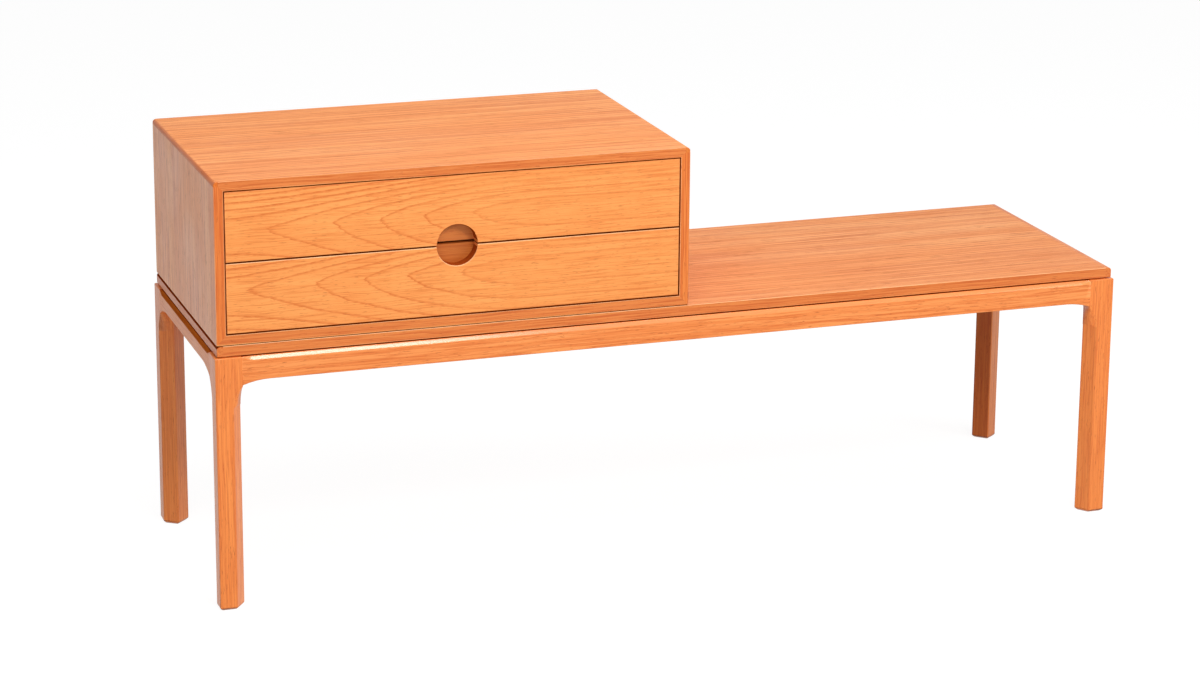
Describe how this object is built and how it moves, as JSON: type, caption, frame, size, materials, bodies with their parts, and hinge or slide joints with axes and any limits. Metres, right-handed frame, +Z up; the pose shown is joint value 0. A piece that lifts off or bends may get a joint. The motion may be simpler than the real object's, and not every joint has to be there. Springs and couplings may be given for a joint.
{
  "type": "telephone bench",
  "caption": "Long low wooden bench on faceted legs, with a seat board and a small chest of drawers with a shared round finger pull at one end.",
  "frame": {"origin": "on the floor below the middle of the frame's length and depth", "axes": "+X along the bench away from the chest, +Y from the front to the back, +Z up"},
  "size_m": [1.2, 0.356, 0.54],
  "materials": {
    "frame_teak": "oiled solid teak with straight grain",
    "bearer_wood": "planed beech, unfinished",
    "screw_steel": "zinc-plated slotted screws",
    "top_veneer": "oiled teak veneer, straight grain along the bench",
    "edge_teak": "oiled solid teak lipping, redder than the veneer",
    "case_veneer": "oiled teak veneer, upright grain",
    "spacer_wood": "plywood strip and discs",
    "plywood": "sanded plywood",
    "runner_wood": "waxed hardwood",
    "front_teak": "oiled teak with arched grain",
    "pull_teak": "oiled teak, darker than the fronts",
    "drawer_wood": "planed hardwood with a thin lacquer"
  },
  "bodies": {
    "bench": {"front_left_leg": "frame_teak", "front_right_leg": "frame_teak", "back_left_leg": "frame_teak", "back_right_leg": "frame_teak", "front_rail": "frame_teak", "back_rail": "frame_teak", "left_rail": "frame_teak", "right_rail": "frame_teak", "left_bearer": "bearer_wood", "right_bearer": "bearer_wood", "board_screws": "screw_steel", "case_screws": "screw_steel", "case_back_screws": "screw_steel", "runner_screws": "screw_steel", "seat_board": "top_veneer", "case_top": "top_veneer", "board_front_lipping": "edge_teak", "board_back_lipping": "edge_teak", "board_left_lipping": "edge_teak", "board_right_lipping": "edge_teak", "case_top_lipping": "edge_teak", "case_right_lipping": "edge_teak", "case_bottom_lipping": "edge_teak", "case_left_lipping": "edge_teak", "case_left_corner_strip": "edge_teak", "case_right_corner_strip": "edge_teak", "case_right_side": "case_veneer", "case_bottom": "case_veneer", "case_left_side": "case_veneer", "case_spacers": "spacer_wood", "mitre_splines": "spacer_wood", "case_back": "plywood", "upper_left_runner": "runner_wood", "upper_right_runner": "runner_wood", "lower_left_runner": "runner_wood", "lower_right_runner": "runner_wood"},
    "upper_drawer": {"upper_drawer_front": "front_teak", "upper_pull_backing": "pull_teak", "upper_drawer_left_side": "drawer_wood", "upper_drawer_right_side": "drawer_wood", "upper_drawer_back": "drawer_wood", "upper_drawer_bottom": "plywood", "upper_bottom_screws": "screw_steel"},
    "lower_drawer": {"lower_drawer_front": "front_teak", "lower_pull_backing": "pull_teak", "lower_drawer_left_side": "drawer_wood", "lower_drawer_right_side": "drawer_wood", "lower_drawer_back": "drawer_wood", "lower_drawer_bottom": "plywood", "lower_bottom_screws": "screw_steel"}
  },
  "joints": [
    {"name": "upper_drawer_slide", "type": "slide", "parent": "bench", "child": "upper_drawer", "axis": [0, -1, 0], "range_m": [0, 0.26]},
    {"name": "lower_drawer_slide", "type": "slide", "parent": "bench", "child": "lower_drawer", "axis": [0, -1, 0], "range_m": [0, 0.26]}
  ]
}
